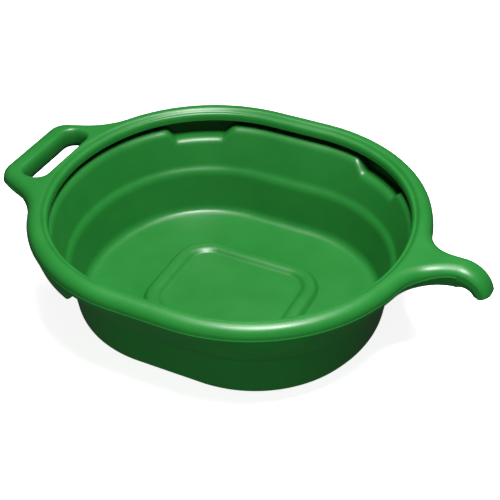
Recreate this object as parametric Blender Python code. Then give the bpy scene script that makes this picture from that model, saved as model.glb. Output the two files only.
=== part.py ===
"""An oil drain pan: one hollow plastic moulding, built as the two halves that its mould leaves.

The bowl is the lower half: floor, walls, ledge and the undersides of the grip and the spout.
The splash rim is the upper half: the rolled rim with its lip, and the tops of the grip and the spout.
The halves meet face to face at the parting line, which runs round the widest outline.
Each half is a skin of rings extruded one from the next, which then gets its wall thickness.
+X points to the spout, -X to the grip, +Z up, and the pan stands on Z = 0.
"""

import math

import bmesh
import bpy
import numpy as np

# Overall sizes, in metres
RIM_LENGTH = 0.4875  # along X at the parting line, without the grip and the spout
RIM_WIDTH = 0.446  # along Y at the parting line
PAN_HEIGHT = 0.147  # floor to the top of the rim
WALL = 0.003
WALL_SHARPEST = 0.7  # limits how far the inside of a sharp corner is moved
PARTING_GAP = 0.0003  # clearance between the two halves

# Plan shape: round corners, flatter arcs at the two ends, short straight sides
CORNER_INSET = 0.0193  # how far the corner radius falls short of half the smaller rim size
END_ARC = math.radians(26.4)  # half angle of the flatter arc at each end
END_WALL_RELIEF = 0.007  # how much less the end walls lean in than the side walls

# Rim section
RIM_RISE = 0.0148  # top of the rim above the parting line
RIM_BAND = 0.0256  # width of the rolled rim, outer edge to the opening
EDGE_LAND = 0.002  # upright strip above the parting line
EDGE_RADIUS = 0.0128  # rounding of the outer edge
EDGE_STEPS = (0.0, 0.0, 0.0012, 0.0038, 0.0075, 0.0095)  # ring distances from the outline
LIP_PROFILE = (  # distance from the opening, height above the parting line
    (0.0095, 0.01437),
    (0.0058, 0.0108),
    (0.0030, 0.0100),
    (0.0010, 0.0078),
    (0.0, 0.0045),
    (0.0, -0.0006),
)
WEB_RINGS = 3  # rings between the outer and the inner part of the rim, wide in the grip and spout

# Ledge under the rim, and the four pads where it drops
LEDGE_DEPTH = 0.0129  # underside of the ledge below the parting line
SKIRT_LAND = 0.0015
SKIRT_LEAN = 0.0062  # how far the skirt leans in on its way down to the ledge
LEDGE_BAND = 0.0245  # outer edge of the rim to the outside of the wall
LEDGE_FILLET = 0.0025
PAD_DROP = 0.0148
PAD_LEAN = 0.0018  # extra lean of the deeper skirt at a pad
PAD_START = 42.5  # degrees of the corner's arc, counted from the X axis
PAD_END = 72.5
PAD_RAMP = 4.5

# Wall, as distances in from the rim's outer edge
RIDGE_HEIGHT = 0.065
RIDGE_STEP = 0.0055  # inward step of the wall at the ridge
RIDGE_DROP = 0.007  # height that the step takes
RIDGE_INSET = 0.0425
BASE_INSET = 0.0575
BASE_RADIUS = 0.012

# Raised plateau in the floor, with a sunk panel
PLATEAU_LENGTH = 0.203
PLATEAU_WIDTH = 0.172
PLATEAU_CORNER = 0.050
PLATEAU_RISE = 0.0065
PLATEAU_SLOPE = 0.008
PLATEAU_BAND = 0.007
PANEL_DROP = 0.0045
PANEL_SLOPE = 0.008
PANEL_BORDER = 0.012  # outer strip of the panel, round one flat middle face

# Grip: a bar carried by two arms, with a finger hole between it and the rim
GRIP_REACH = 0.0490  # bar's outer edge beyond the end of the rim
GRIP_BAR = 0.0275  # width of the bar
GRIP_HALF = 0.0645  # half length of the bar's outer edge
GRIP_FLARE = math.radians(22.6)  # how far the arms spread towards the rim
GRIP_CORNER = 0.026
GRIP_ROOT = math.radians(29.0)  # where the arms leave the rim
HOLE_HALF = 0.0565
HOLE_SETBACK = 0.0084  # how far the finger hole cuts into the rim's outer edge
HOLE_CORNER = 0.013
HOLE_EDGE_RADIUS = 0.006
HOLE_STEPS = (0.0060, 0.0033, 0.0010, 0.0, 0.0)  # ring distances from the hole's edge
HOLE_CLEARANCE = 0.001  # least distance from the hole's rounded edge to the stations beside it

# Spout: a flat tube that leaves the rim, then bends down to an open mouth
SPOUT_HALF = 0.016  # half width of the tube
SPOUT_ROOT_HALF = 0.0572  # half width where it leaves the rim
SPOUT_LIFT = 0.0075  # its parting line above the rim's
SPOUT_RISE = 0.0115  # top of the tube above its parting line
SPOUT_DEPTH = 0.0180  # underside of the tube below its parting line, where the tube starts
SPOUT_TAPER = 0.5  # share of that depth which is gone at the tip
SPOUT_LIFT_START = 0.0012  # from the end of the rim
SPOUT_LIFT_LENGTH = 0.043
SPOUT_BEND_RADIUS = 0.029
SPOUT_BEND_ANGLE = math.radians(74.0)
SPOUT_FRACTIONS = (1.0, 0.9, 0.7, 0.4)  # rings' places across half the tube's width
SPOUT_FAN = 1.6  # crowds the fan of stations towards the middle of the spout

# How finely the plan is divided
RIM_STEPS = 4
PAD_STEPS = 2
SIDE_STEPS = 2
GRIP_STEPS = 12
SPOUT_ROOT_STEPS = 4
SPOUT_BEND_STEPS = 7

# Worked out from the sizes above
HALF_LENGTH = RIM_LENGTH / 2
HALF_WIDTH = RIM_WIDTH / 2
CORNER_RADIUS = min(HALF_LENGTH, HALF_WIDTH) - CORNER_INSET
CORNER_Y = HALF_WIDTH - CORNER_RADIUS
END_EXTRA = CORNER_Y / math.sin(END_ARC)  # the end arc's radius beyond the corners'
CORNER_X = HALF_LENGTH - CORNER_RADIUS - END_EXTRA * (1 - math.cos(END_ARC))
PARTING_HEIGHT = PAN_HEIGHT - RIM_RISE
GRIP_X = -(HALF_LENGTH + GRIP_REACH)
HOLE_INNER_X = -(HALF_LENGTH - HOLE_SETBACK)
HOLE_OUTER_X = GRIP_X + GRIP_BAR
HOLE_CENTRE_X = (HOLE_INNER_X + HOLE_OUTER_X) / 2
HOLE_HALF_X = (HOLE_INNER_X - HOLE_OUTER_X) / 2


def plan_point(theta, slide, inset, relief=0.0):
    """A point of the plan's family of parallel outlines, where the outline faces the angle theta."""
    c, s = math.cos(theta), math.sin(theta)
    radius = CORNER_RADIUS - inset
    corner_x = CORNER_X + relief
    if abs(s) < math.sin(END_ARC):
        centre_x = math.copysign(1.0, c) * (corner_x - END_EXTRA * math.cos(END_ARC))
        return np.array((centre_x + (radius + END_EXTRA) * c, (radius + END_EXTRA) * s))
    centre_x = slide * corner_x if abs(c) < 1e-6 else math.copysign(corner_x, c)
    return np.array((centre_x + radius * c, math.copysign(CORNER_Y, s) + radius * s))


def rounded_path(corners, radii, step=0.002):
    """Points along a polyline with rounded corners; the radii are those of the inner corners."""
    points = [corners[0]]
    for i, radius in enumerate(radii, start=1):
        before, corner, after = corners[i - 1], corners[i], corners[i + 1]
        u = (before - corner) / np.linalg.norm(before - corner)
        v = (after - corner) / np.linalg.norm(after - corner)
        half = math.acos(float(np.clip(u @ v, -1, 1))) / 2
        reach = radius / math.tan(half)
        centre = corner + (u + v) / np.linalg.norm(u + v) * radius / math.sin(half)
        start, stop = corner + u * reach - centre, corner + v * reach - centre
        turn = math.pi - 2 * half
        count = max(2, math.ceil(turn * radius / step))
        for k in range(count + 1):
            a = turn * k / count
            mix = (start * math.sin(turn - a) + stop * math.sin(a)) / math.sin(turn)
            points.append(centre + mix)
    points.append(corners[-1])
    return np.array(points)


def spread(path, count):
    """Points at equal steps along a path, with the inward direction on the path's right side."""
    lengths = np.concatenate(([0], np.cumsum(np.linalg.norm(np.diff(path, axis=0), axis=1))))
    places = np.linspace(0, lengths[-1], count + 1)
    points = np.stack([np.interp(places, lengths, path[:, k]) for k in (0, 1)], axis=1)
    ahead = np.stack([np.interp(places + 1e-4, lengths, path[:, k]) for k in (0, 1)], axis=1)
    behind = np.stack([np.interp(places - 1e-4, lengths, path[:, k]) for k in (0, 1)], axis=1)
    along = (ahead - behind) / np.linalg.norm(ahead - behind, axis=1)[:, None]
    return points, np.stack([along[:, 1], -along[:, 0]], axis=1)


def meet(point, direction, other, other_direction):
    """Where two lines cross."""
    sides = np.array((direction, -other_direction)).T
    return point + direction * np.linalg.solve(sides, other - point)[0]


def grip_path():
    """Half of the grip's outline, from the middle of the bar to the rim, on the +Y side."""
    theta = math.pi - GRIP_ROOT
    root = plan_point(theta, 0, 0)
    rim_direction = np.array((math.sin(theta), -math.cos(theta)))
    corner = np.array((GRIP_X, GRIP_HALF))
    arm_direction = np.array((math.cos(GRIP_FLARE), math.sin(GRIP_FLARE)))
    bend = meet(corner, arm_direction, root, rim_direction)
    turn = math.acos(float(np.clip(arm_direction @ rim_direction, -1, 1)))
    root_radius = np.linalg.norm(root - bend) / math.tan(turn / 2) * 0.999
    return rounded_path([np.array((GRIP_X, 0.0)), corner, bend, root], (GRIP_CORNER, root_radius))


def spout_corner():
    """Where the spout leaves the rim, where its straight sides start, and the rounding between."""
    theta = math.asin(SPOUT_ROOT_HALF / (CORNER_RADIUS + END_EXTRA))
    root = plan_point(theta, 0, 0)
    rim_direction = np.array((math.sin(theta), -math.cos(theta)))
    corner = meet(root, rim_direction, np.array((0.0, SPOUT_HALF)), np.array((1.0, 0.0)))
    reach = np.linalg.norm(corner - root)
    radius = reach / math.tan((math.pi / 2 - theta) / 2) * 0.999
    return theta, root, corner, corner + np.array((reach, 0.0)), radius


SPOUT_ROOT, _, _, SPOUT_START, _ = spout_corner()
SPOUT_TIP_X = SPOUT_START[0] + SPOUT_BEND_RADIUS * SPOUT_BEND_ANGLE
SPOUT_BEND_Z = PARTING_HEIGHT + SPOUT_LIFT - SPOUT_BEND_RADIUS  # height of the bend's axis
SPOUT_NOSE_X = SPOUT_START[0] + (SPOUT_BEND_RADIUS + SPOUT_RISE) * math.sin(SPOUT_BEND_ANGLE)
ORIGIN_X = (GRIP_X + SPOUT_NOSE_X) / 2  # the middle of the overall length


def spout_path():
    """Half of the spout's outline up to where its straight sides start, on the +Y side."""
    _, root, corner, start, radius = spout_corner()
    return rounded_path([root, corner, start], (radius,))


def mirrored(stations):
    """The same stations on the -Y side, in the opposite order."""
    flip = np.array((1, -1))
    flipped = [
        {**s, "theta": -s["theta"], "point": s["point"] * flip, "inward": s["inward"] * flip}
        for s in reversed(stations)
    ]
    return [{**s, "across": -s["across"]} if "across" in s else s for s in flipped]


def rim_station(theta, slide=1.0):
    inward = -np.array((math.cos(theta), math.sin(theta)))
    return {"theta": theta, "slide": slide, "point": plan_point(theta, slide, 0), "inward": inward}


def make_stations():
    """The places round the plan where the rings have their points, from +X through +Y to -X."""
    half = []
    spout_steps = len(SPOUT_FRACTIONS) + SPOUT_ROOT_STEPS
    for k, across in enumerate((0.0,) + SPOUT_FRACTIONS[::-1]):
        theta = SPOUT_ROOT * (k / spout_steps) ** SPOUT_FAN
        point = np.array((SPOUT_START[0], across * SPOUT_HALF))
        half.append(dict(theta=theta, slide=1, point=point, inward=np.array((-1.0, 0.0)), across=across))
    points, inward = spread(spout_path()[::-1], SPOUT_ROOT_STEPS)
    for k in range(1, SPOUT_ROOT_STEPS):
        theta = SPOUT_ROOT * ((len(SPOUT_FRACTIONS) + k) / spout_steps) ** SPOUT_FAN
        half.append(dict(theta=theta, slide=1, point=points[k], inward=-inward[k]))
    pad = [math.radians(a) for a in (PAD_START, PAD_START + PAD_RAMP, PAD_END - PAD_RAMP, PAD_END)]
    quarter = [
        (SPOUT_ROOT, pad[0], RIM_STEPS),
        (pad[0], pad[1], 1),
        (pad[1], pad[2], PAD_STEPS),
        (pad[2], pad[3], 1),
        (pad[3], math.pi / 2, SIDE_STEPS),
    ]
    for start, stop, count in quarter:
        half += [rim_station(start + (stop - start) * k / count) for k in range(count)]
    half += [rim_station(math.pi / 2, 1.0), rim_station(math.pi / 2, -1.0)]
    back = [(pad[3], math.pi / 2, SIDE_STEPS), (pad[2], pad[3], 1), (pad[1], pad[2], PAD_STEPS)]
    back += [(pad[0], pad[1], 1), (GRIP_ROOT, pad[0], SIDE_STEPS)]
    for start, stop, count in back:
        turned = [math.pi - stop + (stop - start) * k / count for k in range(1, count + 1)]
        half += [rim_station(theta) for theta in turned]
    points, inward = spread(grip_path()[::-1], GRIP_STEPS)
    for k in range(1, GRIP_STEPS + 1):
        theta = math.pi - GRIP_ROOT * (1 - k / GRIP_STEPS)
        half.append(dict(theta=theta, slide=1, point=points[k], inward=-inward[k]))
    return half + mirrored(half[1:-1])


def ease(t):
    t = min(max(t, 0.0), 1.0)
    return t * t * (3 - 2 * t)


def arch(distance, radius):
    """Height of a quarter round, as a share, at a distance from its edge."""
    short = 1 - min(distance, radius) / radius
    return math.sqrt(1 - short * short)


def spout_share(x):
    """0 on the rim, 1 on the spout's tube."""
    return ease((x - HALF_LENGTH - SPOUT_LIFT_START) / SPOUT_LIFT_LENGTH)


def parting_z(x):
    return PARTING_HEIGHT + SPOUT_LIFT * spout_share(x)


def pad_share(theta):
    """1 where the ledge drops to a pad, 0 elsewhere."""
    a = math.degrees(math.asin(abs(math.sin(theta))))
    return min(max(min(a - PAD_START, PAD_END - a) / PAD_RAMP, 0.0), 1.0)


def outline_points():
    """The whole outline as closely spaced points, with the spout's sides run out to its tip."""
    spout = spout_path()
    tube = np.linspace(SPOUT_START, (SPOUT_TIP_X + SPOUT_HALF, SPOUT_HALF), 40)
    rim = [plan_point(t, 1, 0) for t in np.linspace(SPOUT_ROOT, math.pi / 2, 160)]
    rim += [np.array((x, HALF_WIDTH)) for x in np.linspace(CORNER_X, -CORNER_X, 40)]
    rim += [plan_point(t, 1, 0) for t in np.linspace(math.pi / 2 + 1e-3, math.pi - GRIP_ROOT, 140)]
    grip = grip_path()
    half = np.concatenate((spout, tube, np.array(rim), dense(grip)))
    return np.concatenate((half, half * np.array((1, -1))))


def dense(path, step=0.002):
    """The path's points with more put in along its straight stretches."""
    pieces = []
    for a, b in zip(path[:-1], path[1:]):
        count = max(1, math.ceil(np.linalg.norm(b - a) / step))
        pieces += [a + (b - a) * k / count for k in range(count)]
    return np.array(pieces + [path[-1]])


OUTLINE = outline_points()


def outline_distance(point):
    return float(np.sqrt(((OUTLINE - point) ** 2).sum(axis=1)).min())


def hole_point(u, v, offset):
    """A point on the finger hole's outline, moved out by offset; u and v run from -1 to 1."""
    edge = np.array((u * HOLE_HALF_X, v * HOLE_HALF))
    core = np.clip(edge, *box_limits(HOLE_HALF_X, HOLE_HALF, HOLE_CORNER))
    outward = (edge - core) / np.linalg.norm(edge - core)
    return np.array((HOLE_CENTRE_X, 0)) + core + outward * (HOLE_CORNER + offset)


def box_limits(half_x, half_y, corner):
    core = np.array((half_x - corner, half_y - corner))
    return -core, core


def plateau_point(theta_point, offset):
    """A point on the plateau's outline, moved in by offset, on the ray to theta_point."""
    half_x, half_y = PLATEAU_LENGTH / 2, PLATEAU_WIDTH / 2
    u, v = theta_point[0] / half_x, theta_point[1] / half_y
    reach = max(abs(u), abs(v))
    edge = np.array((u / reach * half_x, v / reach * half_y))
    core = np.clip(edge, *box_limits(half_x, half_y, PLATEAU_CORNER))
    outward = (edge - core) / np.linalg.norm(edge - core)
    return core + outward * (PLATEAU_CORNER - offset)


def edge_point(station, distance):
    """The point a distance in from the outline, at a station."""
    if "across" in station:
        width = SPOUT_HALF - distance
        return np.array((SPOUT_START[0] - distance, station["across"] * width))
    return station["point"] + station["inward"] * distance


def web_points(outer, inner):
    return [outer + (inner - outer) * k / (WEB_RINGS + 1) for k in range(1, WEB_RINGS + 1)]


def top_height(point, lip_distance=1.0):
    """Height of the upper skin: rounded at the outline and towards the opening, flat between."""
    share = spout_share(point[0])
    rise = RIM_RISE + (SPOUT_RISE - RIM_RISE) * share
    near = min(outline_distance(point), lip_distance)
    return parting_z(point[0]) + EDGE_LAND + (rise - EDGE_LAND) * arch(near, EDGE_RADIUS)


def ledge_height(x, theta):
    """Height of the lower skin's flat part: the ledge, its pads, and the spout's rising floor."""
    depth = LEDGE_DEPTH + (SPOUT_DEPTH - LEDGE_DEPTH) * spout_share(x)
    return parting_z(x) - depth - PAD_DROP * pad_share(theta)


def is_tube_end(station):
    """True where the ring crosses the spout, so that its outer edge isn't at the parting line."""
    return "across" in station and abs(station["across"]) < 1


def upper_rings(stations):
    """The splash rim's rings, from the parting line over the rim to the lip's edge."""
    columns = []
    for station in stations:
        column = []
        for k, distance in enumerate(EDGE_STEPS):
            if k == 1 and is_tube_end(station):
                distance = EDGE_STEPS[2] / 2
            point = edge_point(station, distance)
            height = top_height(point)
            if k < 2 and not is_tube_end(station):
                height = parting_z(point[0]) + (PARTING_GAP / 2, EDGE_LAND)[k]
            column.append((*point, height))
        theta, slide = station["theta"], station["slide"]
        outer = edge_point(station, EDGE_STEPS[-1])
        inner = plan_point(theta, slide, RIM_BAND - LIP_PROFILE[0][0])
        for point in web_points(outer, inner):
            lip_distance = LIP_PROFILE[0][0] + np.linalg.norm(point - inner)
            column.append((*point, top_height(point, lip_distance)))
        for distance, height in LIP_PROFILE:
            point = plan_point(theta, slide, RIM_BAND - distance)
            column.append((*point, PARTING_HEIGHT + height))
        columns.append(column)
    return list(zip(*columns))


def lower_rings(stations):
    """The bowl's rings, from the parting line down the skirt, along the ledge and down to the panel."""
    floor = BASE_INSET + BASE_RADIUS
    wall = [
        (RIDGE_INSET, RIDGE_HEIGHT + RIDGE_DROP / 2),
        (RIDGE_INSET + RIDGE_STEP, RIDGE_HEIGHT - RIDGE_DROP / 2),
        (BASE_INSET, BASE_RADIUS),
        (BASE_INSET + BASE_RADIUS * 0.3, BASE_RADIUS * 0.3),
        (floor, 0.0),
    ]
    panel = PLATEAU_SLOPE + PLATEAU_BAND + PANEL_SLOPE
    plateau = [
        (0.0, 0.0),
        (PLATEAU_SLOPE, PLATEAU_RISE),
        (PLATEAU_SLOPE + PLATEAU_BAND, PLATEAU_RISE),
        (panel, PLATEAU_RISE - PANEL_DROP),
        (panel + PANEL_BORDER, PLATEAU_RISE - PANEL_DROP),
    ]
    columns = []
    for station in stations:
        theta, slide = station["theta"], station["slide"]
        drop = pad_share(theta)
        column = []
        for k, distance in enumerate((0.0, 0.0, SKIRT_LEAN + PAD_LEAN * drop)):
            if k == 1 and is_tube_end(station):
                distance = SKIRT_LEAN / 2
            point = edge_point(station, distance)
            depth = ledge_height(point[0], theta)
            if k < 2:
                edge = min(outline_distance(point) / SKIRT_LEAN, 1.0)
                top = parting_z(point[0]) - (PARTING_GAP / 2, SKIRT_LAND)[k]
                depth = top + (depth - top) * edge if is_tube_end(station) else top
            column.append((*point, depth))
        outer = np.array(column[-1][:2])
        down = PAD_DROP * drop / (PARTING_HEIGHT - LEDGE_DEPTH - RIDGE_HEIGHT)
        band = LEDGE_BAND + (RIDGE_INSET - LEDGE_BAND) * down  # a pad keeps to the wall's slope
        inner = plan_point(theta, slide, band - LEDGE_FILLET, END_WALL_RELIEF * down)
        for point in web_points(outer, inner) + [inner]:
            column.append((*point, ledge_height(point[0], theta)))
        shelf = column[-1][2]
        column.append((*plan_point(theta, slide, band, END_WALL_RELIEF * down), shelf - LEDGE_FILLET))
        for inset, height in wall:
            column.append((*plan_point(theta, slide, inset, END_WALL_RELIEF), height))
        floor_point = plan_point(theta, slide, floor, END_WALL_RELIEF)
        column += [(*plateau_point(floor_point, inset), height) for inset, height in plateau]
        columns.append(column)
    return list(zip(*columns))


def extrude_chain(bm, chain, positions, closed=True):
    """Extrudes a chain of vertices once and moves the new ones to positions, in the same order."""
    pairs = list(zip(chain, chain[1:] + chain[:1])) if closed else list(zip(chain, chain[1:]))
    edges = [bm.edges.get(pair) for pair in pairs]
    made = bmesh.ops.extrude_edge_only(bm, edges=edges)["geom"]
    new = {v for v in made if isinstance(v, bmesh.types.BMVert)}
    out = []
    for vert, position in zip(chain, positions):
        twin = next(e.other_vert(vert) for e in vert.link_edges if e.other_vert(vert) in new)
        twin.co = position
        out.append(twin)
    return out


def loft(bm, rings):
    """Extrudes the rings one from the next, starting from a circle of as many points."""
    first = bmesh.ops.create_circle(bm, segments=len(rings[0]), radius=1)["verts"]
    order = sorted(first, key=lambda v: math.atan2(v.co.y, v.co.x) % (2 * math.pi))
    for vert, position in zip(order, rings[0]):
        vert.co = position
    grid = [order]
    for ring in rings[1:]:
        grid.append(extrude_chain(bm, grid[-1], ring))
    return grid


def open_finger_hole(bm, grid, stations, first_web, height_at):
    """Takes the web's faces out between the grip's arms and extrudes the edge in to the finger hole."""
    middle = next(i for i, s in enumerate(stations) if s["theta"] >= math.pi - 1e-9)
    last_web = first_web + WEB_RINGS + 1
    edges = [(grid[first_web][middle - n], grid[last_web][middle - n]) for n in range(GRIP_STEPS)]
    clear = HOLE_HALF + HOLE_EDGE_RADIUS + HOLE_CLEARANCE
    steps = next(n for n, ends in enumerate(edges) if min(v.co.y for v in ends) > clear)
    left, right = middle - steps, middle + steps
    outer = [grid[first_web][i] for i in range(left, right + 1)]
    inner = [grid[last_web][i] for i in range(right, left - 1, -1)]
    down = [grid[r][right] for r in range(first_web + 1, last_web)]
    up = [grid[r][left] for r in range(last_web - 1, first_web, -1)]
    inside = {v for row in grid[first_web : last_web + 1] for v in row[left : right + 1]}
    faces = [f for f in bm.faces if all(v in inside for v in f.verts)]
    bmesh.ops.delete(bm, geom=faces, context="FACES")
    chain = outer + down + inner + up
    long_run = np.sin(np.linspace(-math.pi / 2, math.pi / 2, len(outer)))  # closer at the corners
    short_run = np.linspace(-1, 1, WEB_RINGS + 2)[1:-1]
    places = [(-1, -v) for v in long_run] + [(u, -1) for u in short_run]
    places += [(1, v) for v in long_run] + [(-u, 1) for u in short_run]
    for k, offset in enumerate(HOLE_STEPS):
        points = [hole_point(u, v, offset) for u, v in places]
        chain = extrude_chain(bm, chain, [(*p, height_at(k, offset)) for p in points])


def upper_hole_height(k, offset):
    if k == len(HOLE_STEPS) - 1:
        return PARTING_HEIGHT + PARTING_GAP / 2
    return PARTING_HEIGHT + EDGE_LAND + (RIM_RISE - EDGE_LAND) * arch(offset, HOLE_EDGE_RADIUS)


def lower_hole_height(k, offset):
    if k == len(HOLE_STEPS) - 1:
        return PARTING_HEIGHT - PARTING_GAP / 2
    depth = LEDGE_DEPTH - SKIRT_LAND
    return PARTING_HEIGHT - SKIRT_LAND - depth * min(offset / SKIRT_LEAN, 1.0)


def run_out_spout(bm, ring, stations):
    """Extrudes the edge that crosses the spout straight out to the tip; its underside tapers."""
    edge = [v for v, s in zip(ring, stations) if "across" in s]
    half = len(SPOUT_FRACTIONS) + 1
    chain = edge[half:] + edge[:half]
    level = parting_z(SPOUT_START[0])
    start = [v.co.copy() for v in chain]
    for k in range(1, SPOUT_BEND_STEPS + 1):
        x = SPOUT_START[0] + (SPOUT_TIP_X - SPOUT_START[0]) * k / SPOUT_BEND_STEPS
        shrink = 1 - SPOUT_TAPER * k / SPOUT_BEND_STEPS
        places = [(x, p.y, max(p.z, level + (p.z - level) * shrink)) for p in start]
        chain = extrude_chain(bm, chain, places, closed=False)


def bend_spout(bm):
    """Bends what lies beyond the start of the spout's straight sides down round the bend's axis."""
    for vert in bm.verts:
        along = vert.co.x - SPOUT_START[0]
        if along > 0:
            angle = along / SPOUT_BEND_RADIUS
            radius = vert.co.z - SPOUT_BEND_Z
            vert.co.x = SPOUT_START[0] + radius * math.sin(angle)
            vert.co.z = SPOUT_BEND_Z + radius * math.cos(angle)


def give_wall(bm, keep):
    """Gives the skin its thickness, towards the inside of the moulding, and holds its edges level."""
    bm.normal_update()
    shift = {v: wall_shift(v) * keep for v in bm.verts}
    places = {tuple(v.co): v for v in bm.verts}
    made = bmesh.ops.extrude_face_region(bm, geom=bm.faces[:], use_keep_orig=True)["geom"]
    for vert in (v for v in made if isinstance(v, bmesh.types.BMVert)):
        vert.co -= shift[places[tuple(vert.co)]]
    for vert in bm.verts:
        level = parting_z(vert.co.x)
        if keep > 0:
            vert.co.z = max(vert.co.z, level + PARTING_GAP / 2)
        else:
            vert.co.z = min(vert.co.z, level - PARTING_GAP / 2)


def wall_shift(vert):
    """How far a corner of the skin moves so that each face round it moves by the wall's thickness."""
    facing = [abs(vert.normal @ f.normal) for f in vert.link_faces]
    return vert.normal * WALL / max(sum(facing) / len(facing), WALL_SHARPEST)


def plastic(name, colour):
    """Satin green polyethylene."""
    material = bpy.data.materials.new(name)
    material.use_nodes = True
    shader = material.node_tree.nodes["Principled BSDF"]
    shader.inputs["Base Color"].default_value = (*colour, 1.0)
    shader.inputs["Roughness"].default_value = 0.38
    shader.inputs["Metallic"].default_value = 0.0
    return material


def finish(bm, name, colour):
    """Makes the object from its mesh, with the origin at the middle of the overall length."""
    bend_spout(bm)
    for vert in bm.verts:
        vert.co.x -= ORIGIN_X
    bmesh.ops.recalc_face_normals(bm, faces=bm.faces)
    mesh = bpy.data.meshes.new(name)
    bm.to_mesh(mesh)
    bm.free()
    mesh.shade_smooth()
    mesh.set_sharp_from_angle(angle=math.radians(40))
    mesh.materials.append(plastic(name + "_plastic", colour))
    obj = bpy.data.objects.new(name, mesh)
    bpy.context.scene.collection.objects.link(obj)
    return obj


def make_splash_rim(stations):
    bm = bmesh.new()
    grid = loft(bm, upper_rings(stations))
    open_finger_hole(bm, grid, stations, len(EDGE_STEPS) - 1, upper_hole_height)
    run_out_spout(bm, grid[0], stations)
    give_wall(bm, keep=1)
    return finish(bm, "splash_rim", (0.045, 0.36, 0.065))


def make_bowl(stations):
    bm = bmesh.new()
    grid = loft(bm, lower_rings(stations))
    open_finger_hole(bm, grid, stations, 2, lower_hole_height)
    run_out_spout(bm, grid[0], stations)
    last = grid[-1]
    bmesh.ops.edgeloop_fill(bm, edges=[bm.edges.get(p) for p in zip(last, last[1:] + last[:1])])
    give_wall(bm, keep=-1)
    return finish(bm, "bowl", (0.035, 0.31, 0.055))


def main():
    for old in list(bpy.data.objects):
        bpy.data.objects.remove(old, do_unlink=True)
    stations = make_stations()
    make_splash_rim(stations)
    make_bowl(stations)


main()
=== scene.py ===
import math

import bmesh
import bpy
import numpy as np
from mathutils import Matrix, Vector


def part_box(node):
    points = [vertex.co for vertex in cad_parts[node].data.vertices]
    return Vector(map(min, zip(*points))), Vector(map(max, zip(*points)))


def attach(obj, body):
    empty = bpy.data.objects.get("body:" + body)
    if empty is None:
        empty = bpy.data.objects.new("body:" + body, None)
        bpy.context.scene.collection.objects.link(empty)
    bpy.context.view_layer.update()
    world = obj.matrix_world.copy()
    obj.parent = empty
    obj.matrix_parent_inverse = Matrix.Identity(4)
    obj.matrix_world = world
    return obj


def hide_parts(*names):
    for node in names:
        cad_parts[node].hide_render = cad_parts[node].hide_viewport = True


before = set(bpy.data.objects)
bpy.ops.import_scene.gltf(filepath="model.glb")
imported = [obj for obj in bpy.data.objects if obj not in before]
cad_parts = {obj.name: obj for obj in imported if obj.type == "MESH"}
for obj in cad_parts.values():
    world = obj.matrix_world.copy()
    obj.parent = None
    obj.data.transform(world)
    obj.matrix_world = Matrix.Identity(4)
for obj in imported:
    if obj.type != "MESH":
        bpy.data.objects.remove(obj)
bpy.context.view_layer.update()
rimLow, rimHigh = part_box("splash_rim")
_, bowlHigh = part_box("bowl")
print("frame loaded")

# sizes are in metres, and places are counted from the middle of the bowl until a piece is finished
plan = {
    "rimLength": 0.4875,  # without the grip and the spout
    "cornerInset": 0.0193,  # corner radius falls short of half the rim's width by this
    "endArc": math.radians(26.4),  # half angle of the flatter arc at each end
    "wallRelief": 0.007,  # end walls lean in this much less than the side walls
    "seam": 0.00005,  # between the two halves of the moulding
    "cadSeam": 0.0003,  # the same gap in the frame's solids
    "wall": 0.003,
    "rootFit": 0.999,  # keeps the rounding at a root just short of its straights
    "sharp": math.radians(55),  # edges that turn more than this are shaded sharp
    "wallSharpest": 0.7,  # limits how far the inside of a sharp corner is moved
}
grip = {
    "reach": 0.0490,  # bar's outer edge beyond the rim
    "bar": 0.0275,
    "half": 0.0645,  # half length of the bar's outer edge
    "flare": math.radians(22.6),  # how the arms spread towards the rim
    "corner": 0.026,
    "root": math.radians(29.0),  # where the arms leave the rim
    "holeHalf": 0.0565,
    "holeSetback": 0.0084,  # cut into the rim's outer edge
    "holeCorner": 0.013,
    "holeRound": 0.006,
    "holeRings": 8,
    "holeClear": 0.001,  # least distance from the rounded edge to the stations beside it
}
spout = {
    "half": 0.016,  # half width of the tube
    "rootHalf": 0.0572,
    "lift": 0.0075,  # its parting line above the rim's
    "rise": 0.0115,  # top of the tube above its parting line
    "depth": 0.0180,
    "taper": 0.5,  # share of that depth which is gone at the tip
    "liftStart": 0.0012,  # from the end of the rim
    "liftLength": 0.043,
    "bendRadius": 0.029,
    "bendAngle": math.radians(74.0),
    "bendSteps": 30,
    "startReach": 0.0024,  # how far inside its start the rings cross the tube
    "fan": 1.6,  # crowds the fan of stations towards the middle of the spout
    "acrossAt": (0.0, 0.0001, 0.0005, 0.0012, 0.0022, 0.0036, 0.0054, 0.0076, 0.0102, 0.0131, 0.016),
}
# how many steps each stretch of the outline has
counts = {"spoutRoot": 22, "rim": 14, "ramp": 8, "pad": 12, "side": 8, "straight": 10, "grip": 60}

halfWidth = rimHigh.y
halfLength = plan["rimLength"] / 2
cornerRadius = min(halfLength, halfWidth) - plan["cornerInset"]
cornerY = halfWidth - cornerRadius
endExtra = cornerY / math.sin(plan["endArc"])  # end arc's radius beyond the corners'
cornerX = halfLength - cornerRadius - endExtra * (1 - math.cos(plan["endArc"]))
partingZ = bowlHigh.z + plan["cadSeam"] / 2 - spout["lift"]
gripX = -(halfLength + grip["reach"])
middleX = rimLow.x - gripX  # where the bowl's middle is in the frame
holeIn = -(halfLength - grip["holeSetback"])
holeOut = gripX + grip["bar"]


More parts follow.
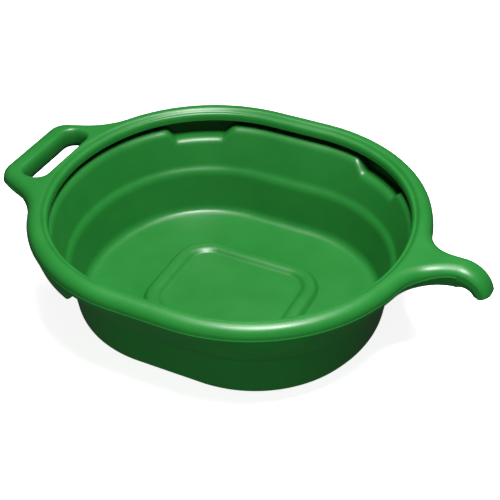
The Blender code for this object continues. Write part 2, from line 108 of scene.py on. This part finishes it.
def planPoints(theta, slide, inset, relief=0.0):
    # points of the plan moved in by inset; slide runs along the straight sides, where theta stands still
    c, s = np.cos(theta), np.sin(theta)
    radius = cornerRadius - inset
    atX = cornerX + relief
    onEnd = np.abs(s) < math.sin(plan["endArc"])
    side = np.where(np.abs(c) < 1e-6, slide, np.sign(c))
    endX = np.sign(c) * (atX - endExtra * math.cos(plan["endArc"])) + (radius + endExtra) * c
    x = np.where(onEnd, endX, side * atX + radius * c)
    y = np.where(onEnd, (radius + endExtra) * s, np.sign(s) * cornerY + radius * s)
    return np.stack([x, y], axis=-1)


def planPoint(theta):
    return planPoints(np.array(theta), np.array(1.0), 0.0)


def roundedPath(corners, radii, step=0.0005):
    # a polyline with rounded corners; the radii are those of the inner corners
    points = [corners[0]]
    for i, radius in enumerate(radii, start=1):
        before, corner, after = corners[i - 1 : i + 2]
        u = (before - corner) / np.linalg.norm(before - corner)
        v = (after - corner) / np.linalg.norm(after - corner)
        half = math.acos(float(np.clip(u @ v, -1, 1))) / 2
        reach = radius / math.tan(half)
        centre = corner + (u + v) / np.linalg.norm(u + v) * radius / math.sin(half)
        start, stop = corner + u * reach - centre, corner + v * reach - centre
        turn = math.pi - 2 * half
        for a in np.linspace(0, turn, max(3, math.ceil(turn * radius / step))):
            points.append(centre + (start * math.sin(turn - a) + stop * math.sin(a)) / math.sin(turn))
    return np.array(points + [corners[-1]])


def meet(point, direction, other, otherDirection):
    # where two lines cross
    return point + direction * np.linalg.solve(np.array((direction, -otherDirection)).T, other - point)[0]


def gripPath():
    theta = math.pi - grip["root"]
    root = planPoint(theta)
    rimDirection = np.array((math.sin(theta), -math.cos(theta)))
    corner = np.array((gripX, grip["half"]))
    arm = np.array((math.cos(grip["flare"]), math.sin(grip["flare"])))
    bend = meet(corner, arm, root, rimDirection)
    turn = math.acos(float(arm @ rimDirection))
    rootRadius = np.linalg.norm(root - bend) / math.tan(turn / 2) * plan["rootFit"]
    return roundedPath([np.array((gripX, 0.0)), corner, bend, root], (grip["corner"], rootRadius))


def spoutPath():
    theta = math.asin(spout["rootHalf"] / (cornerRadius + endExtra))
    root = planPoint(theta)
    rimDirection = np.array((math.sin(theta), -math.cos(theta)))
    corner = meet(root, rimDirection, np.array((0.0, spout["half"])), np.array((1.0, 0.0)))
    reach = np.linalg.norm(corner - root)
    start = corner + np.array((reach, 0.0))
    radius = reach / math.tan((math.pi / 2 - theta) / 2) * plan["rootFit"]
    return theta, start, roundedPath([root, corner, start], (radius,))


spoutTheta, spoutStart, spoutSide = spoutPath()
gripSide = gripPath()
tubeX = spoutStart[0]
tubeEnd = tubeX + spout["bendRadius"] * spout["bendAngle"]
bendZ = partingZ + spout["lift"] - spout["bendRadius"]


def alongPath(path, count, reach=4e-4):
    # points at equal steps along a path, and the direction to its left at each
    lengths = np.concatenate(([0], np.cumsum(np.linalg.norm(np.diff(path, axis=0), axis=1))))
    places = np.linspace(0, lengths[-1], count + 1)

    def at(s):
        return np.stack([np.interp(s, lengths, path[:, k]) for k in (0, 1)], axis=1)

    ahead = at(places + reach) - at(places - reach)
    ahead /= np.linalg.norm(ahead, axis=1)[:, None]
    return at(places), np.stack([-ahead[:, 1], ahead[:, 0]], axis=1)


pads = {
    "start": 42.0,  # degrees of the corner's arc, counted from the X axis
    "end": 73.5,
    "ramp": 5.5,
    "drop": 0.0148,
    "lean": 0.0018,  # extra lean of the deeper skirt at a pad
}


offTube = 2  # stands for across where a station isn't on the tube's crossing


def halfStations():
    # the places round the plan where the rings have their points, from +X through +Y to -X
    rows = []  # theta, slide, x, y, inward x, inward y, across
    nearEdge = [1 - d / spout["half"] for d in spout["acrossAt"]]
    steps = len(nearEdge) - 1 + counts["spoutRoot"]
    for k, across in enumerate(nearEdge[::-1]):
        theta = spoutTheta * (k / steps) ** spout["fan"]
        rows.append((theta, 1, tubeX, across * spout["half"], -1, 0, across))
    points, inward = alongPath(spoutSide[::-1], counts["spoutRoot"])
    for k in range(1, counts["spoutRoot"]):
        theta = spoutTheta * ((len(nearEdge) - 1 + k) / steps) ** spout["fan"]
        rows.append((theta, 1, *points[k], *inward[k], offTube))
    a, b = math.radians(pads["start"]), math.radians(pads["end"])
    r = math.radians(pads["ramp"])
    quarter = [(spoutTheta, a, "rim"), (a, a + r, "ramp"), (a + r, b - r, "pad"), (b - r, b, "ramp")]
    quarter.append((b, math.pi / 2, "side"))
    angles = [t for p, q, n in quarter for t in np.linspace(p, q, counts[n], endpoint=False)]
    rest = [(b, math.pi / 2, "side"), (b - r, b, "ramp"), (a + r, b - r, "pad"), (a, a + r, "ramp")]
    rest.append((grip["root"], a, "side"))
    back = [math.pi - t for p, q, n in rest for t in np.linspace(q, p, counts[n] + 1)[1:]]
    turns = [(t, 1.0) for t in angles]
    turns += [(math.pi / 2, s) for s in np.linspace(1, -1, counts["straight"] + 1)]
    turns += [(t, 1.0) for t in back]
    for theta, slide in turns:
        point = planPoints(np.array(theta), np.array(slide), 0.0)
        rows.append((theta, slide, *point, -math.cos(theta), -math.sin(theta), offTube))
    points, inward = alongPath(gripSide[::-1], counts["grip"])
    for k in range(1, counts["grip"] + 1):
        theta = math.pi - grip["root"] * (1 - k / counts["grip"])
        rows.append((theta, 1, *points[k], *inward[k], offTube))
    return rows


leftHalf = np.array(halfStations())
rightHalf = leftHalf[-2:0:-1] * np.array((-1, 1, 1, -1, 1, -1, 1))
rightHalf[:, 6] = np.where(rightHalf[:, 6] < offTube, -rightHalf[:, 6], offTube)
table = np.concatenate((leftHalf, rightHalf))
theta, slide, point, inward, across = table[:, 0], table[:, 1], table[:, 2:4], table[:, 4:6], table[:, 6]
onTube = np.abs(across) < offTube  # stations whose outer edge crosses the tube
inTube = np.abs(across) < 1 - 1e-9  # of those, the ones that aren't at the tube's sides
print("stations", len(theta))


fine = {"step": 0.0006, "arcs": 520, "back": 420, "straights": 300}  # points along the outline


def outlinePoints():
    # the whole outline from above as close points
    step = fine["step"]
    tube = np.stack([np.arange(tubeX, tubeEnd + spout["half"], step)] * 2, axis=1)
    tube[:, 1] = spout["half"]
    arcs = planPoints(np.linspace(spoutTheta, math.pi / 2, fine["arcs"]), 1, 0.0)
    side = np.stack([np.arange(-cornerX, cornerX, step)] * 2, axis=1)
    side[:, 1] = halfWidth
    back = planPoints(np.linspace(math.pi / 2 + 1e-3, math.pi - grip["root"], fine["back"]), 1, 0.0)
    straights, _ = alongPath(gripSide, fine["straights"])
    half = np.concatenate((spoutSide, tube, arcs, side, back, gripSide, straights))
    return np.concatenate((half, half * np.array((1, -1))))


outline = outlinePoints()


def outlineDistance(points):
    gaps = [np.sqrt(((outline - p) ** 2).sum(axis=1)).min() for p in points]
    return np.array(gaps)


def ease(t):
    t = np.clip(t, 0, 1)
    return t * t * (3 - 2 * t)


def arch(distance, radius):
    short = 1 - np.minimum(distance, radius) / radius
    return np.sqrt(1 - short * short)


def spoutShare(x):
    # 0 on the rim, 1 where the spout has its full lift
    return ease((x - halfLength - spout["liftStart"]) / spout["liftLength"])


def seamHeight(x):
    return partingZ + spout["lift"] * spoutShare(x)


def padShare(theta):
    # 1 at a pad, 0 between the pads
    a = np.degrees(np.arcsin(np.abs(np.sin(theta))))
    return ease(np.minimum(a - pads["start"], pads["end"] - a) / pads["ramp"])


def edgePoints(sideways, along):
    # points inside the outline: by sideways on the rim, by along where the edge crosses the tube
    sideways = np.broadcast_to(sideways, len(across))
    crossing = np.stack([np.full(len(across), tubeX - along), across * (spout["half"] - sideways)], axis=1)
    return np.where(onTube[:, None], crossing, point + inward * sideways[:, None])


def roundCorners(corners, reaches, steps, alone=0.95, shared=0.48):
    # quadratic blends at the inner corners of a polyline, for all stations at once
    out = [corners[0]]
    for i, (reach, count) in enumerate(zip(reaches, steps), start=1):
        a, b, c = corners[i - 1], corners[i], corners[i + 1]
        u, v = a - b, c - b
        lengthU, lengthV = np.linalg.norm(u, axis=1), np.linalg.norm(v, axis=1)
        roomU = lengthU * (alone if i == 1 else shared)  # a stretch between two blends is shared
        roomV = lengthV * (alone if i == len(reaches) else shared)
        r = np.minimum(reach, np.minimum(roomU, roomV))
        start, stop = b + u * (r / lengthU)[:, None], b + v * (r / lengthV)[:, None]
        for t in np.linspace(0, 1, count + 1):
            out.append(start * (1 - t) ** 2 + b * (2 * t * (1 - t)) + stop * t**2)
    return out + [corners[-1]]


def extrudeChain(bm, chain, positions, closed=True):
    # extrudes a chain of vertices once and moves the new ones to positions, in the same order
    pairs = list(zip(chain, chain[1:] + chain[:1])) if closed else list(zip(chain, chain[1:]))
    edges = [bm.edges.get(pair) for pair in pairs]
    made = bmesh.ops.extrude_edge_only(bm, edges=edges)["geom"]
    new = {v for v in made if isinstance(v, bmesh.types.BMVert)}
    out = []
    for vert, position in zip(chain, positions):
        twin = next(e.other_vert(vert) for e in vert.link_edges if e.other_vert(vert) in new)
        twin.co = position
        out.append(twin)
    return out


def loft(bm, rings):
    # extrudes the rings one from the next, starting from a circle of as many points
    first = bmesh.ops.create_circle(bm, segments=len(rings[0]), radius=1)["verts"]
    order = sorted(first, key=lambda v: math.atan2(v.co.y, v.co.x) % (2 * math.pi))
    for vert, position in zip(order, rings[0]):
        vert.co = position
    grid = [order]
    for ring in rings[1:]:
        grid.append(extrudeChain(bm, grid[-1], ring))
    return grid


def holePoint(u, v, offset):
    # a point on the finger hole's outline, moved out by offset; u and v run from -1 to 1
    halfX, halfY, corner = (holeIn - holeOut) / 2, grip["holeHalf"], grip["holeCorner"]
    edge = np.array((u * halfX, v * halfY))
    inner = np.array((halfX - corner, halfY - corner))
    core = np.clip(edge, -inner, inner)
    outward = (edge - core) / np.linalg.norm(edge - core)
    return np.array(((holeIn + holeOut) / 2, 0)) + core + outward * (corner + offset)


def openFingerHole(bm, grid, firstWeb, lastWeb, heightAt):
    # takes the web's faces out between the grip's arms and extrudes the edge in to the hole
    middle = int(np.argmin(np.abs(theta - math.pi)))
    clear = grip["holeHalf"] + grip["holeRound"] + grip["holeClear"]
    ends = [(grid[firstWeb][middle - n], grid[lastWeb][middle - n]) for n in range(counts["grip"])]
    steps = next(n for n, pair in enumerate(ends) if min(v.co.y for v in pair) > clear)
    left, right = middle - steps, middle + steps
    outer = [grid[firstWeb][i] for i in range(left, right + 1)]
    inner = [grid[lastWeb][i] for i in range(right, left - 1, -1)]
    down = [grid[r][right] for r in range(firstWeb + 1, lastWeb)]
    up = [grid[r][left] for r in range(lastWeb - 1, firstWeb, -1)]
    inside = {v for row in grid[firstWeb : lastWeb + 1] for v in row[left : right + 1]}
    faces = [f for f in bm.faces if all(v in inside for v in f.verts)]
    bmesh.ops.delete(bm, geom=faces, context="FACES")
    chain = outer + down + inner + up
    longRun = np.sin(np.linspace(-math.pi / 2, math.pi / 2, len(outer)))  # closer at the corners
    shortRun = np.linspace(-1, 1, len(down) + 2)[1:-1]
    places = [(-1, -v) for v in longRun] + [(u, -1) for u in shortRun]
    places += [(1, v) for v in longRun] + [(-u, 1) for u in shortRun]
    turns = np.linspace(math.pi / 2, 0, grip["holeRings"] + 1)
    offsets = [grip["holeRound"] * (1 - math.cos(a)) for a in turns] + [0.0]
    for k, offset in enumerate(offsets):
        height = heightAt(offset, k == len(offsets) - 1)
        chain = extrudeChain(bm, chain, [(*holePoint(u, v, offset), height) for u, v in places])


def runOutSpout(bm, ring):
    # extrudes the edge that crosses the spout straight out to the tip, its underside tapering
    edge = [v for v, crossing in zip(ring, onTube) if crossing]
    half = len(spout["acrossAt"])
    chain = edge[half:] + edge[:half]
    level = float(seamHeight(np.array(tubeX)))
    start = [v.co.copy() for v in chain]
    for share in np.linspace(0, 1, spout["bendSteps"] + 1)[1:]:
        x, shrink = tubeX + (tubeEnd - tubeX) * share, 1 - spout["taper"] * share
        places = [(x, p.y, max(p.z, level + (p.z - level) * shrink)) for p in start]
        chain = extrudeChain(bm, chain, places, closed=False)


def bendSpout(bm):
    # bends what lies beyond the tube's start down round the bend's axis
    for vert in bm.verts:
        if vert.co.x > tubeX:
            angle = (vert.co.x - tubeX) / spout["bendRadius"]
            radius = vert.co.z - bendZ
            vert.co.x = tubeX + radius * math.sin(angle)
            vert.co.z = bendZ + radius * math.cos(angle)


def giveWall(bm, keep):
    # thickens the skin inwards; keep is 1 for the half above the seam and -1 for the half below
    bm.normal_update()
    shift = {}
    for vert in bm.verts:
        facing = [abs(vert.normal @ f.normal) for f in vert.link_faces]
        square = max(sum(facing) / len(facing), plan["wallSharpest"])
        shift[tuple(vert.co)] = vert.normal * (keep * plan["wall"] / square)
    made = bmesh.ops.extrude_face_region(bm, geom=bm.faces[:], use_keep_orig=True)["geom"]
    for vert in (v for v in made if isinstance(v, bmesh.types.BMVert)):
        vert.co -= shift[tuple(vert.co)]
    for vert in bm.verts:
        level = float(seamHeight(np.array(vert.co.x))) + keep * plan["seam"] / 2
        vert.co.z = max(vert.co.z, level) if keep > 0 else min(vert.co.z, level)


def finishPiece(bm, name, node):
    bendSpout(bm)
    bmesh.ops.translate(bm, verts=bm.verts, vec=(middleX, 0, 0))
    bmesh.ops.recalc_face_normals(bm, faces=bm.faces)
    mesh = bpy.data.meshes.new(name)
    bm.to_mesh(mesh)
    bm.free()
    mesh.shade_smooth()
    mesh.set_sharp_from_angle(angle=plan["sharp"])
    piece = bpy.data.objects.new(name, mesh)
    bpy.context.scene.collection.objects.link(piece)
    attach(piece, "root")
    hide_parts(node)
    return piece


# upper half: rolled rim, lip, tops of the grip and the spout
rim = {
    "rise": 0.0148,  # top of the rim above the seam
    "band": 0.0256,  # outer edge to the opening
    "land": 0.002,  # upright strip above the seam
    "round": 0.0128,  # rounding of the outer edge
    "roundRings": 10,
    "beadOut": 0.0006,  # flash line left by the mould
    "beadHigh": 0.0011,
    "webRings": 10,
    "lip": (  # distance from the opening, height above the seam
        (0.0112, 0.0148),
        (0.0092, 0.0144),
        (0.0075, 0.0131),
        (0.0062, 0.0114),
        (0.0052, 0.0104),
        (0.0043, 0.0101),
        (0.0034, 0.0102),
        (0.0025, 0.0100),
        (0.0016, 0.0092),
        (0.0008, 0.0078),
        (0.0002, 0.0060),
        (0.0, 0.0040),
        (0.0, 0.0020),
        (0.0, -0.0006),
    ),
}
seamBead = [  # distance inside the outline, height from the seam
    (-rim["beadOut"], plan["seam"] / 2),
    (-rim["beadOut"], rim["beadHigh"] / 2),
    (0.0, rim["beadHigh"]),
]


def topHeight(points, lipDistance=1.0):
    # rounded at the outline and towards the opening, flat between
    share = spoutShare(points[:, 0])
    rise = rim["rise"] + (spout["rise"] - rim["rise"]) * share
    near = np.minimum(outlineDistance(points), lipDistance)
    return seamHeight(points[:, 0]) + rim["land"] + (rise - rim["land"]) * arch(near, rim["round"])


def upperRings():
    turns = np.linspace(0, math.pi / 2, rim["roundRings"] + 1)
    profile = [*seamBead, (0.0, rim["land"])]
    upright = len(profile)
    profile += [(rim["round"] * (1 - math.cos(a)), None) for a in turns[1:]]
    rings = []
    for k, (distance, height) in enumerate(profile):
        points = edgePoints(distance, spout["startReach"] * k / (len(profile) - 1))
        top = topHeight(points)
        if k < upright:
            top = np.where(inTube, top, seamHeight(points[:, 0]) + height)
        rings.append(np.column_stack((points, top)))
    outer = rings[-1][:, :2]
    inner = planPoints(theta, slide, rim["band"] - rim["lip"][0][0])
    firstWeb = len(rings) - 1
    for k in range(1, rim["webRings"]):
        points = outer + (inner - outer) * k / rim["webRings"]
        lipDistance = rim["lip"][0][0] + np.linalg.norm(points - inner, axis=1)
        rings.append(np.column_stack((points, topHeight(points, lipDistance))))
    lastWeb = len(rings)
    for distance, height in rim["lip"]:
        points = planPoints(theta, slide, rim["band"] - distance)
        rings.append(np.column_stack((points, np.full(len(theta), partingZ + height))))
    return rings, firstWeb, lastWeb


def makeSplashRim():
    bm = bmesh.new()
    rings, firstWeb, lastWeb = upperRings()
    grid = loft(bm, rings)

    def height(offset, last):
        if last:
            return partingZ + plan["seam"] / 2
        return partingZ + rim["land"] + (rim["rise"] - rim["land"]) * arch(offset, grip["holeRound"])

    openFingerHole(bm, grid, firstWeb, lastWeb, height)
    runOutSpout(bm, grid[0])
    giveWall(bm, 1)
    return finishPiece(bm, "rolled_splash_rim", "splash_rim")


# lower half: skirt, ledge with its pads, walls, floor with its plateau
bowl = {
    "ledgeDepth": 0.0129,  # underside of the ledge below the seam
    "skirtLand": 0.0015,
    "skirtLean": 0.0062,  # how far the skirt leans in on its way down
    "creaseReach": 0.0018,  # rounding between skirt and ledge
    "creaseSteps": 5,
    "creaseRun": 0.004,
    "landShare": 0.3,  # what is nearer the seam than this share of the depth keeps its height
    "ledgeBand": 0.0245,  # outer edge of the rim to the outside of the wall
    "shoulderReach": 0.008,  # rounding between ledge and wall
    "shoulderFlat": 0.0015,
    "ridgeHeight": 0.065,
    "ridgeStep": 0.0065,
    "ridgeDrop": 0.0075,
    "ridgeInset": 0.0425,
    "ridgeReach": 0.006,
    "baseInset": 0.0572,  # foot of the wall if it ran on to the floor
    "baseReach": 0.015,  # rounding of the foot
    "baseRun": 0.024,  # flat floor beside the foot
    "wallSteps": (6, 5, 5, 10),  # of the four roundings from the ledge down
    "webRings": 12,
}
plateau = {
    "length": 0.203,
    "width": 0.172,
    "corner": 0.050,
    "rise": 0.0065,
    "slope": 0.008,
    "band": 0.007,
    "panelDrop": 0.0045,
    "panelSlope": 0.008,
    "slopeSteps": 8,
    "panelSteps": 6,
    "panelRings": (0.006, 0.020),  # rings on the flat panel, beyond its slope
}


def plateauPoints(ray, offset):
    halfX, halfY, corner = plateau["length"] / 2, plateau["width"] / 2, plateau["corner"]
    scaled = ray / np.array((halfX, halfY))
    edge = ray / np.abs(scaled).max(axis=1)[:, None]
    inner = np.array((halfX - corner, halfY - corner))
    core = np.clip(edge, -inner, inner)
    outward = edge - core
    outward /= np.linalg.norm(outward, axis=1)[:, None]
    return core + outward * (corner - offset)


def ledgeHeight(x):
    depth = bowl["ledgeDepth"] + (spout["depth"] - bowl["ledgeDepth"]) * spoutShare(x)
    return seamHeight(x) - depth - pads["drop"] * padShare(theta)


def plateauProfile():
    slope, band = plateau["slope"], plateau["band"]
    rise, drop = plateau["rise"], plateau["panelDrop"]
    up = np.linspace(0, 1, plateau["slopeSteps"] + 1)
    offsets = [slope * t for t in up]
    heights = [rise * float(ease(t)) for t in up]
    offsets += [slope + band * 0.5, slope + band]
    heights += [rise, rise]
    for t in np.linspace(0, 1, plateau["panelSteps"] + 1)[1:]:
        offsets.append(slope + band + plateau["panelSlope"] * t)
        heights.append(rise - drop * float(ease(t)))
    last = offsets[-1]
    offsets += [last + beyond for beyond in plateau["panelRings"]]
    heights += [rise - drop, rise - drop]
    return list(zip(offsets, heights))


def lowerRings():
    drop = padShare(theta)
    lean = bowl["skirtLean"] + pads["lean"] * drop
    flat = np.zeros(len(theta))
    ledge = ledgeHeight(point[:, 0])
    depth = seamHeight(point[:, 0]) - ledge
    section = [np.column_stack((flat + d, flat + z)) for d, z in seamBead]
    corners = [np.column_stack((flat, flat + bowl["skirtLand"])), np.column_stack((lean, depth))]
    corners.append(np.column_stack((lean + bowl["creaseRun"], depth)))
    section += roundCorners(corners, (bowl["creaseReach"],), (bowl["creaseSteps"],))
    top = len(seamBead)
    section.insert(top + 1, (section[top] + section[top + 1]) / 2)  # a ring half way down the skirt
    rings = []
    for k, row in enumerate(section):
        along = spout["startReach"] * k / (len(section) - 1)
        points = edgePoints(row[:, 0], along)
        seam = seamHeight(points[:, 0])
        full = seam - ledgeHeight(points[:, 0])
        edge = np.minimum(outlineDistance(points) / bowl["skirtLean"], 1.0)
        slanted = bowl["skirtLand"] + (full - bowl["skirtLand"]) * edge
        share = row[:, 1] / depth
        level = np.where(share > bowl["landShare"], share * full, row[:, 1])
        rings.append(np.column_stack((points, seam - np.where(inTube, slanted, level))))
    firstWeb = len(rings) - 1
    outer = rings[-1][:, :2]
    flatLedge = partingZ - bowl["ledgeDepth"]
    down = pads["drop"] * drop / (flatLedge - bowl["ridgeHeight"])  # a pad keeps to the wall's slope
    band = bowl["ledgeBand"] + (bowl["ridgeInset"] - bowl["ledgeBand"]) * down
    shoulder = bowl["shoulderReach"] + bowl["shoulderFlat"]
    inner = planPoints(theta, slide, band - shoulder, plan["wallRelief"] * down)
    for k in range(1, bowl["webRings"]):
        points = outer + (inner - outer) * k / bowl["webRings"]
        rings.append(np.column_stack((points, ledgeHeight(points[:, 0]))))
    lastWeb = len(rings)
    shelf = ledgeHeight(inner[:, 0])
    ridge = bowl["ridgeHeight"]
    wall = [
        (band - shoulder, shelf),
        (band, shelf),
        (bowl["ridgeInset"], ridge + bowl["ridgeDrop"] / 2),
        (bowl["ridgeInset"] + bowl["ridgeStep"], ridge - bowl["ridgeDrop"] / 2),
        (bowl["baseInset"], 0.0),
        (bowl["baseInset"] + bowl["baseRun"], 0.0),
    ]
    corners = [np.column_stack((flat + inset, flat + height)) for inset, height in wall]
    reaches = (bowl["shoulderReach"], bowl["ridgeReach"], bowl["ridgeReach"], bowl["baseReach"])
    sections = roundCorners(corners, reaches, bowl["wallSteps"])
    for row in sections:
        relief = plan["wallRelief"] * np.clip((flatLedge - row[:, 1]) / (flatLedge - wall[2][1]), 0, 1)
        points = planPoints(theta, slide, row[:, 0], relief)
        rings.append(np.column_stack((points, row[:, 1])))
    floor = rings[-1][:, :2]
    rings += [np.column_stack((plateauPoints(floor, o), flat + z)) for o, z in plateauProfile()]
    return rings, firstWeb, lastWeb


def makeBowl():
    bm = bmesh.new()
    rings, firstWeb, lastWeb = lowerRings()
    grid = loft(bm, rings)
    skirt = bowl["ledgeDepth"] - bowl["skirtLand"]

    def height(offset, last):
        if last:
            return partingZ - plan["seam"] / 2
        return partingZ - bowl["skirtLand"] - skirt * arch(offset, grip["holeRound"])

    openFingerHole(bm, grid, firstWeb, lastWeb, height)
    runOutSpout(bm, grid[0])
    last = grid[-1]
    bmesh.ops.edgeloop_fill(bm, edges=[bm.edges.get(p) for p in zip(last, last[1:] + last[:1])])
    giveWall(bm, -1)
    return finishPiece(bm, "moulded_bowl", "bowl")


plastic = {
    "green": "#1d6c28",
    "shade": "#196124",
    "grain": 0.0016,  # fine mould texture, drawn a little coarser than the real one
    "cloud": 0.045,  # size of the faint patches that blowing leaves
    "cloudLow": 0.3,  # noise values that the two roughnesses below belong to
    "cloudHigh": 0.7,
    "roughLow": 0.33,
    "roughHigh": 0.40,
    "ior": 1.54,  # polyethylene
    "gloss": 0.42,
    "bump": 0.12,
    "bumpHeight": 0.0002,
}


def linear(hexColour):
    parts = [int(hexColour[i : i + 2], 16) / 255 for i in (1, 3, 5)]
    return (*[c / 12.92 if c <= 0.04045 else ((c + 0.055) / 1.055) ** 2.4 for c in parts], 1.0)


def addNode(tree, kind, settings=None, inputs=None, links=None):
    node = tree.nodes.new(kind)
    for key, value in (settings or {}).items():
        setattr(node, key, value)
    for key, value in (inputs or {}).items():
        node.inputs[key].default_value = value
    for key, source in (links or {}).items():
        tree.links.new(source, node.inputs[key])
    return node


def makePolyethylene(name):
    # satin high-density polyethylene, blow moulded: soft broad gloss over a faintly grained skin
    material = bpy.data.materials.new(name)
    material.use_nodes = True
    tree = material.node_tree
    shader = tree.nodes["Principled BSDF"]
    place = addNode(tree, "ShaderNodeTexCoord").outputs["Object"]
    cloud = addNode(
        tree,
        "ShaderNodeTexNoise",
        inputs={"Scale": 1 / plastic["cloud"], "Detail": 3.0, "Roughness": 0.5},
        links={"Vector": place},
    )
    grain = addNode(
        tree,
        "ShaderNodeTexNoise",
        inputs={"Scale": 1 / plastic["grain"], "Detail": 2.0, "Roughness": 0.6},
        links={"Vector": place},
    )
    colour = addNode(tree, "ShaderNodeMix", {"data_type": "RGBA"}, links={"Factor": cloud.outputs["Fac"]})
    colour.inputs["A"].default_value = linear(plastic["shade"])
    colour.inputs["B"].default_value = linear(plastic["green"])
    rough = addNode(
        tree,
        "ShaderNodeMapRange",
        inputs={
            "From Min": plastic["cloudLow"],
            "From Max": plastic["cloudHigh"],
            "To Min": plastic["roughLow"],
            "To Max": plastic["roughHigh"],
        },
        links={"Value": cloud.outputs["Fac"]},
    )
    bump = addNode(
        tree,
        "ShaderNodeBump",
        inputs={"Strength": plastic["bump"], "Distance": plastic["bumpHeight"]},
        links={"Height": grain.outputs["Fac"]},
    )
    tree.links.new(colour.outputs["Result"], shader.inputs["Base Color"])
    tree.links.new(rough.outputs["Result"], shader.inputs["Roughness"])
    tree.links.new(bump.outputs["Normal"], shader.inputs["Normal"])
    shader.inputs["IOR"].default_value = plastic["ior"]
    shader.inputs["Specular IOR Level"].default_value = plastic["gloss"]
    return material


paper = {"shade": "#f6f6f6", "rough": 0.8, "glow": 0.85, "half": 6.0, "below": 0.0002}


def makeFloor():
    bm = bmesh.new()
    bmesh.ops.create_grid(bm, x_segments=1, y_segments=1, size=paper["half"])
    bmesh.ops.translate(bm, verts=bm.verts, vec=(0, 0, -paper["below"]))
    mesh = bpy.data.meshes.new("studio_floor")
    bm.to_mesh(mesh)
    bm.free()
    floor = bpy.data.objects.new("studio_floor", mesh)
    bpy.context.scene.collection.objects.link(floor)
    material = bpy.data.materials.new("pale_backdrop_paper")
    material.use_nodes = True
    shader = material.node_tree.nodes["Principled BSDF"]
    shader.inputs["Base Color"].default_value = linear(paper["shade"])
    shader.inputs["Roughness"].default_value = paper["rough"]
    shader.inputs["Emission Color"].default_value = (1, 1, 1, 1)
    shader.inputs["Emission Strength"].default_value = paper["glow"]
    mesh.materials.append(material)
    floor.visible_diffuse = False  # keeps the paper from whitening the pan's outer walls
    floor.visible_glossy = False


studio = {
    "azimuth": 25.81,  # degrees
    "elevation": 37.54,
    "place": (0.5130 + middleX, -1.0061, 0.9397),
    "lens": 82.4,
    "sensor": 36.0,
    "world": 0.05,  # strength of the even light from all round
    "lights": (  # name, place, width, height, watts, whether it shows in the gloss
        ("main_softbox", (0.35, -0.35, 1.75), 0.55, 0.55, 58.0, True),
        ("top_softbox", (-0.1, 0.4, 2.2), 1.0, 1.0, 24.0, True),
        ("front_fill", (0.6, -1.6, 0.14), 1.8, 0.25, 15.0, False),
    ),
}


def makeCamera():
    data = bpy.data.cameras.new("camera")
    camera = bpy.data.objects.new("camera", data)
    bpy.context.scene.collection.objects.link(camera)
    a, e = math.radians(studio["azimuth"]), math.radians(studio["elevation"])
    back = Vector((math.sin(a) * math.cos(e), -math.cos(a) * math.cos(e), math.sin(e)))
    camera.location = studio["place"]
    camera.rotation_euler = (-back).to_track_quat("-Z", "Y").to_euler()
    data.lens = studio["lens"]
    data.sensor_width = studio["sensor"]
    bpy.context.scene.camera = camera


def makeLights():
    for name, place, width, height, watts, inGloss in studio["lights"]:
        data = bpy.data.lights.new(name, "AREA")
        data.shape = "RECTANGLE"
        data.size, data.size_y = width, height
        data.energy = watts
        lamp = bpy.data.objects.new(name, data)
        bpy.context.scene.collection.objects.link(lamp)
        lamp.location = place
        lamp.rotation_euler = (-Vector(place)).to_track_quat("-Z", "Y").to_euler()
        lamp.visible_glossy = inGloss
    world = bpy.data.worlds.new("studio")
    world.use_nodes = True
    world.node_tree.nodes["Background"].inputs["Color"].default_value = (1, 1, 1, 1)
    world.node_tree.nodes["Background"].inputs["Strength"].default_value = studio["world"]
    bpy.context.scene.world = world
    bpy.context.scene.view_settings.view_transform = "Standard"


makeCamera()
makeLights()
makeFloor()
splashRim = makeSplashRim()
print("splash rim", len(splashRim.data.polygons))
bowlPiece = makeBowl()
print("bowl", len(bowlPiece.data.polygons))
for piece, slotName in ((splashRim, "splash_rim_plastic"), (bowlPiece, "bowl_plastic")):
    piece.data.materials.append(makePolyethylene("satin_hdpe_" + piece.name))
print("materials on")
